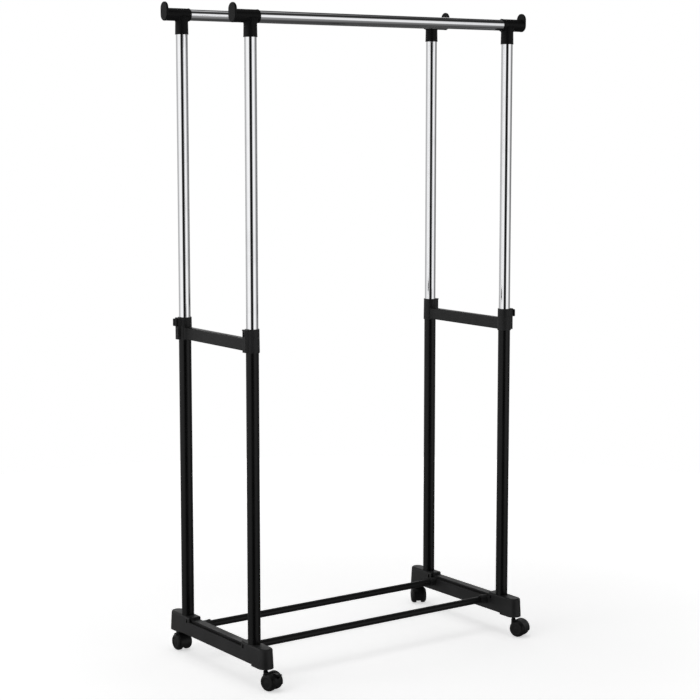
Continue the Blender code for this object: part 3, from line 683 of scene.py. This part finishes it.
class RACK_OT_braces(Operator):
    """Model the two side braces that guide and lock the posts"""

    bl_idname = "rack.braces"
    bl_label = "Model side braces"

    def execute(self, context):
        gap = context.scene.rack_sizes.gap
        node = "right_side_brace"
        low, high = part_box(node)
        front = middle_of("front_right_lower_post")
        rear = middle_of("rear_right_lower_post")
        middle_y = (front.y + rear.y) / 2
        half_y = (rear.y - front.y) / 2
        lower_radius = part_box("front_right_lower_post")[1].x - front.x
        upper_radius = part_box("front_right_upper_post")[1].x - front.x
        stop_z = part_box("front_right_lower_post")[1].z + gap
        insert_low, insert_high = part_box("front_right_lock_insert")
        lock_z = (insert_low.z + insert_high.z) / 2
        bottom_radius = front.x - low.x
        top_radius = bottom_radius - 0.0006
        reach = high.x - front.x - BOSS_LIP
        bar_height, bar_half, bar_round = 0.0270, 0.0083, 0.0022
        bar_low = low.z + 0.0016
        bar_high = bar_low + bar_height
        boss_half, web_inset = 0.0062, 0.0006

        brace = block("brace", (-bar_half, -half_y, bar_low), (bar_half, half_y, bar_high))
        round_edges(brace, lambda edge: abs(edge.verts[0].co.y - edge.verts[1].co.y) > half_y,
                    bar_round, 4)
        for facing in (-1, 1):
            centre_y = facing * half_y
            sleeve = cylinder("sleeve", bottom_radius, (0, centre_y, (low.z + high.z) / 2),
                              high.z - low.z, end_radius=top_radius)
            round_edges(sleeve, edge_at("Z", low.z, high.z), 0.0004, 2)
            web = brace_web(facing, centre_y, top_radius, bar_half, bar_low + web_inset,
                            bar_high - web_inset)
            join_on(brace, web, sleeve, brace_boss(centre_y, reach, boss_half, low.z, high.z))
        for facing in (-1, 1):
            centre = (0, facing * half_y, 0)
            cut_out(brace,
                    span("tube", lower_radius + gap, low.z - OVER, stop_z, "Z", centre),
                    span("mouth", upper_radius + gap, stop_z - 2 * MM, high.z + OVER, "Z", centre))
        insert_radius = (insert_high.z - insert_low.z) / 2 + gap
        recess_radius, recess_depth = 0.0048, 0.0020
        cut_out(brace,
                span("lock", insert_radius, 10 * MM, reach + OVER, "X", (0, -half_y, lock_z),
                     sides=40),
                span("recess", recess_radius, reach - recess_depth, reach + OVER, "X",
                     (0, half_y, lock_z), sides=40))
        smooth(clean(brace))
        for name, spot in (("right_side_brace", front), ("left_side_brace",
                                                         middle_of("front_left_lower_post"))):
            shift = Matrix.Translation((spot.x, middle_y, 0))
            hand_over(copied(brace, f"{name}_finished", shift @ side_turn(spot.x)), name)
        discard(brace)
        return {"FINISHED"}


class RACK_OT_knobs(Operator):
    """Model the square lock knobs with their ribbed grips"""

    bl_idname = "rack.knobs"
    bl_label = "Model lock knobs"

    def execute(self, context):
        gap = context.scene.rack_sizes.gap
        low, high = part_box("front_right_lock_knob")
        stud_low, stud_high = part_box("front_right_lock_stud")
        half = (high.z - low.z) / 2
        depth = high.x - low.x
        corner_round, face_round = 0.0016, 0.0008
        knob = block("knob", (0, -half, -half), (depth, half, half))
        round_edges(knob, lambda edge: abs(edge.verts[0].co.x - edge.verts[1].co.x) > depth / 2,
                    corner_round, 4)
        round_edges(knob, edge_at("X", depth), face_round, 3)
        grooves, groove_radius, margin = 7, 0.00045, 0.0024
        pitch = 2 * (half - margin) / (grooves - 1)
        for index in range(grooves):
            across = -half + margin + index * pitch
            for side in (-1, 1):
                for spot in ((0, across, side * half), (0, side * half, across)):
                    cut_out(knob, span("groove", groove_radius, depth * 0.22, depth + MM, "X",
                                       spot, sides=12))
        dish_radius, dish_depth = half * 0.62, 0.0005
        dish = span("dish", dish_radius, depth - dish_depth, depth + 2 * MM, "X", sides=64)
        hole = span("hole", (stud_high.z - stud_low.z) / 2 + gap, -2 * MM,
                    stud_high.x - low.x + gap, "X", sides=40)
        cut_out(knob, dish, hole)
        smooth(clean(knob))
        for corner in ("front_right", "rear_left"):
            node = f"{corner}_lock_knob"
            low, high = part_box(node)
            spot = (low + high) / 2
            back = low.x if spot.x > 0 else high.x
            place = Matrix.Translation((back, spot.y, spot.z)) @ side_turn(spot.x)
            hand_over(copied(knob, f"{node}_finished", place), node)
        discard(knob)
        return {"FINISHED"}


# ---- base housings ------------------------------------------------------------------------------
class RACK_OT_bases(Operator):
    """Model the two base housings"""

    bl_idname = "rack.bases"
    bl_label = "Model base housings"

    def execute(self, context):
        sizes = context.scene.rack_sizes
        gap = sizes.gap
        low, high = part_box("right_base_housing")
        front = middle_of("front_right_lower_post")
        rear = middle_of("rear_right_lower_post")
        middle_y = (front.y + rear.y) / 2
        post_half = (rear.y - front.y) / 2
        bar = middle_of("rear_bottom_bar")
        bar_half = bar.y - middle_y
        bar_low, bar_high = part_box("rear_bottom_bar")
        socket = middle_of("rear_right_stem_socket")
        socket_half = socket.y - middle_y
        socket_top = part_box("rear_right_stem_socket")[1].z
        stem_bore = 0.0058
        post_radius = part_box("front_right_lower_post")[1].x - front.x
        seat_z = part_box("front_right_lower_post")[0].z - gap
        end_radius = high.x - front.x
        top_radius = end_radius - 0.0023
        straight = (high.y - low.y) / 2 - end_radius
        middle_bottom = low.z + 0.0035
        step_y = 0.156
        waist_half = 0.112
        ledge_z, groove_z, ridge_z = 0.0786, 0.0755, 0.0840
        ridge_half, groove_width = 0.0095, 0.0030
        collar_radius, collar_lip, collar_start = 0.0105, 0.0112, -0.0330
        notch_low_z, notch_high_z = 0.0755, 0.0840

        base = cylinder("base", end_radius, (0, 0, (low.z + high.z) / 2), high.z - low.z,
                        sides=96, end_radius=top_radius)
        move_points(base, lambda point: point.co.y > NEAR, (0, straight, 0))
        move_points(base, lambda point: point.co.y < NEAR, (0, -straight, 0))
        round_edges(base, edge_at("Z", high.z), 0.0042, 6)

        outside = end_radius + 6 * MM
        above = high.z + 6 * MM
        for side in (-1, 1):
            ledge = [side * (ridge_half + groove_width), side * outside]
            shoulder = block("shoulder", (min(ledge), -waist_half, ledge_z),
                             (max(ledge), waist_half, above))
            round_edges(shoulder, lambda edge: abs(edge.verts[0].co.z - edge.verts[1].co.z) > 0.005,
                        0.0022, 4)
            slot = [side * ridge_half, side * (ridge_half + groove_width + 0.0005)]
            groove = block("groove", (min(slot), -waist_half, groove_z),
                           (max(slot), waist_half, above))
            cut_out(base, shoulder, groove)
        cut_out(base, block("crest", (-ridge_half - 0.002, -waist_half + 0.004, ridge_z),
                            (ridge_half + 0.002, waist_half - 0.004, above)))
        for facing in (-1, 1):
            centre = (0, facing * bar_half, bar.z)
            join_on(base,
                    span("collar", collar_radius, collar_start, 0.0, "X", centre, sides=56),
                    span("lip", collar_lip, collar_start, collar_start + 0.0025, "X", centre,
                         sides=56))
        for facing in (-1, 1):
            bar_end = bar_high.x - front.x + gap
            cut_out(base,
                    span("post", post_radius + gap, seat_z, above, "Z", (0, facing * post_half, 0)),
                    span("bar", (bar_high.z - bar_low.z) / 2 + gap, collar_start - 3 * MM, bar_end,
                         "X", (0, facing * bar_half, bar.z), sides=48),
                    span("stem", stem_bore, low.z - OVER, socket_top + gap, "Z",
                         (0, facing * socket_half, 0), sides=40))
            for side in (-1, 1):
                across = sorted((side * 0.0130, side * 0.0220))
                along = sorted((facing * 0.1170, facing * 0.1230))
                cut_out(base, block("notch", (across[0], along[0], notch_low_z),
                                    (across[1], along[1], notch_high_z)))
        cut_out(base, block("step", (-outside, -step_y, low.z - OVER),
                            (outside, step_y, middle_bottom)))
        pocket_half, pocket_width, pocket_top = 0.084, 0.0138, 0.0725
        rib, pockets = 0.0024, 4
        pitch = (2 * pocket_half + rib) / pockets
        for index in range(pockets):
            start = -pocket_half + index * pitch
            cut_out(base, block("pocket", (-pocket_width, start, middle_bottom - MM),
                                (pocket_width, start + pitch - rib, pocket_top)))
        soften(base, sizes.housing_round, 40.0)
        for name, spot in (("right_base_housing", front),
                           ("left_base_housing", middle_of("front_left_lower_post"))):
            shift = Matrix.Translation((spot.x, middle_y, 0))
            hand_over(copied(base, f"{name}_finished", shift @ side_turn(spot.x)), name)
        discard(base)
        return {"FINISHED"}


# ---- casters ----------------------------------------------------------------------------------------
def caster_places():
    """Each corner's stem axis and the turn of its trail at rest, from the swivel and wheel joints."""
    joints = {joint["name"]: joint for joint in frame["joints"]}
    places = {}
    for corner in CORNERS:
        spot = Vector(joints[f"{corner}_caster_swivel"]["pos_m"])
        axle = Vector(joints[f"{corner}_right_wheel_spin"]["axis"])
        turn = Vector((1, 0)).angle_signed(Vector((axle.x, axle.y)))
        places[corner] = Matrix.Translation((spot.x, spot.y, 0)) @ Matrix.Rotation(-turn, 4, "Z")
    return places


TRAIL = 0.0160
WHEEL_RADIUS = 0.0192
WHEEL_WIDTH = 0.0125
HUB_SIDE = 0.0060
AXLE_BORE, PIN_BORE = 0.0028, 0.0015
HUB_Z = WHEEL_RADIUS
HOOD_TOP_Z = 0.0385
BRAKE_Y, BRAKE_Z = -0.0245, 0.0342
BRAKE_HALF = 0.0047


def plain_hood():
    """The wall between the wheels, the stem's boss and the arch over the wheels."""
    web_half, web_radius, web_bottom = 0.0057, 0.0204, 0.0080
    inside, outside, half = 0.0198, 0.0210, 0.0135
    arch_front, arch_back = radians(48.0), radians(16.0)
    hood = cylinder("hood", web_radius, (0, -TRAIL, HUB_Z), 2 * web_half, "X", sides=96)
    cut_out(hood, block("floor", (-0.02, -0.05, -0.01), (0.02, 0.02, web_bottom)))

    fender = cylinder("fender", outside, (0, -TRAIL, HUB_Z), 2 * half, "X", sides=120)
    round_edges(fender, edge_at("X", -half, half), 0.0010, 4)
    cut_out(fender,
            cylinder("inside", inside, (0, -TRAIL, HUB_Z), 0.04, "X", sides=120),
            block("front", (-0.03, -TRAIL + outside * cos(arch_front), -0.01), (0.03, 0.02, 0.06)),
            block("below", (-0.03, -0.06, -0.01), (0.03, 0.02, HUB_Z - outside * sin(arch_back))))
    boss_radius, boss_low, bore_low = 0.0053, 0.0207, 0.0242
    boss = span("boss", boss_radius, boss_low, HOOD_TOP_Z, "Z", sides=48)
    round_edges(boss, edge_at("Z", HOOD_TOP_Z), 0.0005, 2)
    join_on(hood, fender, boss)
    cut_out(hood,
            cylinder("axle", AXLE_BORE, (0, -TRAIL, HUB_Z), 0.020, "X", sides=32),
            span("stem", 0.0035, bore_low, HOOD_TOP_Z + 3 * MM, "Z", sides=32))
    return hood


def braked_hood(hood, half_width):
    braked = copied(hood, "braked_hood", Matrix.Identity(4))
    cut_out(braked,
            block("slot", (-half_width, -0.0365, 0.0281), (half_width, -0.0193, 0.0446)),
            cylinder("pin", PIN_BORE, (0, BRAKE_Y, BRAKE_Z), 0.014, "X", sides=24))
    return braked


def caster_wheel():
    """A wheel on Z with its hub side at 0: blind bore, narrow tread, domed side, sunk cap."""
    radius, face, bore, shoulder = WHEEL_RADIUS, WHEEL_WIDTH, AXLE_BORE, 0.0070
    rings = [(bore, face - 0.0035), (bore, 0.0), (radius * 0.50, 0.0), (radius * 0.52, 0.0006),
             (radius * 0.82, 0.0006), (radius * 0.84, 0.0)]
    rings += bend(radius - 0.0012, 0.0012, 0.0012, -90, 0, 3)
    rings += bend(radius - shoulder, face - shoulder, shoulder, 0, 84, 9)
    rings += [(radius * 0.585, face), (radius * 0.565, face - 0.0001),
              (radius * 0.555, face - 0.0009), (radius * 0.53, face - 0.0011),
              (radius * 0.24, face - 0.0008), (radius * 0.22, face - 0.0005),
              (radius * 0.18, face - 0.0004), (0.0010, face - 0.0004)]
    return smooth(lathe("wheel", rings, 80), TURNED_ANGLE)


def caster_stem(low, high):
    """Foot in the hood, shoulder ring, and the plain shank with its snap groove."""
    foot, shank = 0.0032, 0.0038
    ring_z = HOOD_TOP_Z + 0.0003
    rings = [(foot - 0.0004, low), (foot, low + 0.0004), (foot, ring_z), (shank + 0.0005, ring_z),
             (shank + 0.0006, ring_z + 0.0002), (shank + 0.0006, ring_z + 0.0010),
             (shank + 0.0004, ring_z + 0.0012), (shank, ring_z + 0.0012),
             (shank, high - 0.0080), (shank - 0.0004, high - 0.0077), (shank - 0.0004, high - 0.0060),
             (shank, high - 0.0057), (shank, high - 0.0024), (shank - 0.0005, high - 0.0009),
             (shank - 0.0016, high)]
    return smooth(lathe("stem", rings, 40), TURNED_ANGLE)


def stem_socket(low, high, stem_top):
    inner, outer = 0.0041, 0.0055
    rings = [(inner, stem_top + 0.0003), (inner, low + 0.0004), (inner + 0.0004, low),
             (outer - 0.0002, low), (outer, low + 0.0002), (outer, high - 0.0005),
             (outer - 0.0005, high)]
    return smooth(lathe("socket", rings, 48), TURNED_ANGLE)


def brake_lever():
    """The pedal: a block drawn out to a flat tab, ribbed on top for the toe."""
    top, bottom = BRAKE_Z + 0.0044, BRAKE_Z - 0.0031
    lever = block("lever", (-BRAKE_HALF, -0.0290, bottom), (BRAKE_HALF, -0.0208, top))
    open_for_edit(lever, "FACE", lambda face: face.normal.y < -0.9)
    bpy.ops.mesh.extrude_region_move(TRANSFORM_OT_translate={"value": (0, -0.0120, -0.0006)})
    bpy.ops.transform.resize(value=(1.0, 1.0, 0.24), center_override=(0, -0.0410, top - 0.0016))
    close_edit()
    for step in range(3):
        place = (0, -0.0398 + 0.0022 * step, top - 0.0012 + 0.0003 * step)
        join_on(lever, cylinder("ridge", 0.0006, place, 2 * BRAKE_HALF - 0.0016, "X", sides=16))
    cut_out(lever, cylinder("pin", PIN_BORE, (0, BRAKE_Y, BRAKE_Z), 0.02, "X", sides=24))
    return smooth(clean(lever))


class RACK_OT_casters(Operator):
    """Model the four twin-wheel casters, one of them with a brake"""

    bl_idname = "rack.casters"
    bl_label = "Model casters"

    def execute(self, context):
        gap = context.scene.rack_sizes.gap
        hood = plain_hood()
        braked = braked_hood(hood, BRAKE_HALF + gap)
        for master in (hood, braked):
            smooth(clean(master))
        wheel = caster_wheel()
        stem_low, stem_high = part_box("front_left_caster_stem")
        stem = caster_stem(stem_low.z, stem_high.z)
        lever = brake_lever()
        low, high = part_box("front_left_stem_socket")
        socket = stem_socket(low.z, high.z, stem_high.z)
        for corner, place in caster_places().items():
            top = braked if f"{corner}_brake_lever" in frame["nodes"] else hood
            hand_over(copied(top, f"{corner}_caster_hood_finished", place), f"{corner}_caster_hood")
            hand_over(copied(stem, f"{corner}_caster_stem_finished", place), f"{corner}_caster_stem")
            hand_over(copied(socket, f"{corner}_stem_socket_finished", place),
                      f"{corner}_stem_socket")
            for side, outwards in (("left", -1), ("right", 1)):
                hub = Matrix.Translation((outwards * HUB_SIDE, -TRAIL, HUB_Z))
                spin = Matrix.Rotation(outwards * pi / 2, 4, "Y")
                node = f"{corner}_{side}_wheel"
                hand_over(copied(wheel, f"{node}_finished", place @ hub @ spin), node)
            if top is braked:
                node = f"{corner}_brake_lever"
                hand_over(copied(lever, f"{node}_finished", place), node)
        discard(hood, braked, wheel, stem, lever, socket)
        return {"FINISHED"}


# ---- floor, light and camera ------------------------------------------------------------------------
VIEW_TURN = radians(35.48)
VIEW_TILT = radians(6.88)
DARK_TURN = radians(32.5)
FLOOR_RADIUS = 2.3


def studio_floor():
    """A pale round floor that fades into the backdrop."""
    bpy.ops.object.select_all(action="DESELECT")
    bpy.ops.mesh.primitive_circle_add(vertices=96, radius=FLOOR_RADIUS, fill_type="NGON",
                                      location=(0, 0, -0.0002))
    floor = added("studio_floor")
    graph = new_finish("studio_floor")
    cloud = graph.noise(1.3, 2.0)
    away = graph.add("ShaderNodeVectorMath", {"operation": "LENGTH"}, {0: graph.place()}, out=1)
    graph.principled({
        "Base Color": graph.mix(cloud * 0.2, rgba((0.90, 0.90, 0.90)), rgba((0.87, 0.87, 0.87))),
        "Roughness": 0.9,
        "Specular IOR Level": 0.1,
        "Emission Color": (1.0, 1.0, 1.0, 1.0),
        "Emission Strength": graph.remap(away, 0.5, 2.2, 0.56, 0.80),
    })
    floor.data.materials.append(finish_of("studio_floor"))
    floor.visible_glossy = False


def studio_world():
    """A white backdrop. What shines on the rack is a white room: a dark strip behind the camera,
    shade to the camera's right, a dim far wall and a dark strip in the ceiling."""
    world = bpy.data.worlds.new("studio")
    bpy.context.scene.world = world
    world.use_nodes = True
    graph = Graph(world.node_tree)
    look = graph.add("ShaderNodeTexCoord", out=0)
    back = (-sin(DARK_TURN), -cos(DARK_TURN), 0.0)
    right = (cos(DARK_TURN), -sin(DARK_TURN), 0.0)

    def along(direction):
        return graph.add("ShaderNodeVectorMath", {"operation": "DOT_PRODUCT"},
                         {0: look, 1: direction}, out=1)

    def size(value):
        return graph.add("ShaderNodeMath", {"operation": "ABSOLUTE"}, {0: value})

    turn = graph.add("ShaderNodeMath", {"operation": "ARCTAN2"}, {0: along(right), 1: along(back)})
    up = along((0.0, 0.0, 1.0))
    dark_strip = graph.remap(size(turn), 0.30, 0.60, 0.0, 1.0)
    right_shade = graph.remap(turn, 1.05, 1.75, 1.0, 0.20)
    left_shade = graph.remap(turn, -1.9, -1.3, 0.50, 1.0)
    walls = dark_strip * right_shade * left_shade
    above = graph.remap(up, 0.06, 0.16, 0.0, 1.0)
    far = graph.remap(size(turn), 1.6, 2.2, 0.0, 1.0)
    floor_side = graph.remap(up, -0.30, -0.14, 0.26, 1.0)
    upper = (walls + above * far * 0.9) * floor_side
    ceiling = graph.remap(size(up - 0.64), 0.14, 0.30, 0.04, 1.0)
    light = upper * ceiling + 0.01
    seen = graph.add("ShaderNodeBackground", {}, {"Color": (1, 1, 1, 1), "Strength": 1.0})
    felt = graph.add("ShaderNodeBackground", {}, {"Color": (1, 1, 1, 1), "Strength": light})
    path = graph.add("ShaderNodeLightPath", out=0)
    both = graph.add("ShaderNodeMixShader", {}, {0: path, 1: felt, 2: seen})
    graph.add("ShaderNodeOutputWorld", {}, {"Surface": both})


def softbox(name, place, aim, size, power):
    bpy.ops.object.light_add(type="AREA", location=place)
    lamp = bpy.context.object
    lamp.name = name
    lamp.data.shape = "RECTANGLE"
    lamp.data.size, lamp.data.size_y = size
    lamp.data.energy = power
    direction = Vector(aim) - Vector(place)
    lamp.rotation_euler = direction.to_track_quat("-Z", "Y").to_euler()


def studio_camera():
    camera_data = bpy.data.cameras.new("camera")
    camera = bpy.data.objects.new("camera", camera_data)
    bpy.context.scene.collection.objects.link(camera)
    camera.location = (-2.386, -3.344, 1.228)
    camera.rotation_euler = (pi / 2 - VIEW_TILT, 0.0, -VIEW_TURN)
    camera_data.lens = 92.9
    camera_data.sensor_width = 36.0
    camera_data.shift_y = -0.027
    camera_data.clip_end = 200.0
    bpy.context.scene.camera = camera


class RACK_OT_stage(Operator):
    """Set out the floor, the light and the camera"""

    bl_idname = "rack.stage"
    bl_label = "Set the stage"

    def execute(self, context):
        studio_floor()
        studio_world()
        softbox("key_softbox", (-2.6, 0.4, 2.6), (0, 0, 0.6), (1.6, 1.6), 14.0)
        studio_camera()
        context.scene.view_settings.view_transform = "Standard"
        return {"FINISHED"}


STEPS = (RACK_OT_finishes, RACK_OT_posts, RACK_OT_bars, RACK_OT_connectors, RACK_OT_braces,
         RACK_OT_knobs, RACK_OT_bases, RACK_OT_casters, RACK_OT_stage)


class RACK_PT_panel(Panel):
    """The rack's settings and steps"""

    bl_idname = "RACK_PT_panel"
    bl_label = "Rolling clothes rack"
    bl_space_type = "VIEW_3D"
    bl_region_type = "UI"
    bl_category = "Rack"

    def draw(self, context):
        for group in (context.scene.rack_sizes, context.scene.rack_finish):
            box = self.layout.box()
            for name in group.bl_rna.properties.keys():
                if name not in ("rna_type", "name"):
                    box.prop(group, name)
        for step in STEPS:
            self.layout.operator(step.bl_idname)


CLASSES = (RackSizes, RackFinish, *STEPS, RACK_PT_panel)


def register():
    for item in CLASSES:
        bpy.utils.register_class(item)
    bpy.types.Scene.rack_sizes = PointerProperty(type=RackSizes)
    bpy.types.Scene.rack_finish = PointerProperty(type=RackFinish)


def unregister():
    del bpy.types.Scene.rack_finish
    del bpy.types.Scene.rack_sizes
    for item in reversed(CLASSES):
        bpy.utils.unregister_class(item)


def main():
    register()
    for step in STEPS:
        group, name = step.bl_idname.split(".")
        getattr(getattr(bpy.ops, group), name)()


if __name__ == "__main__":
    main()
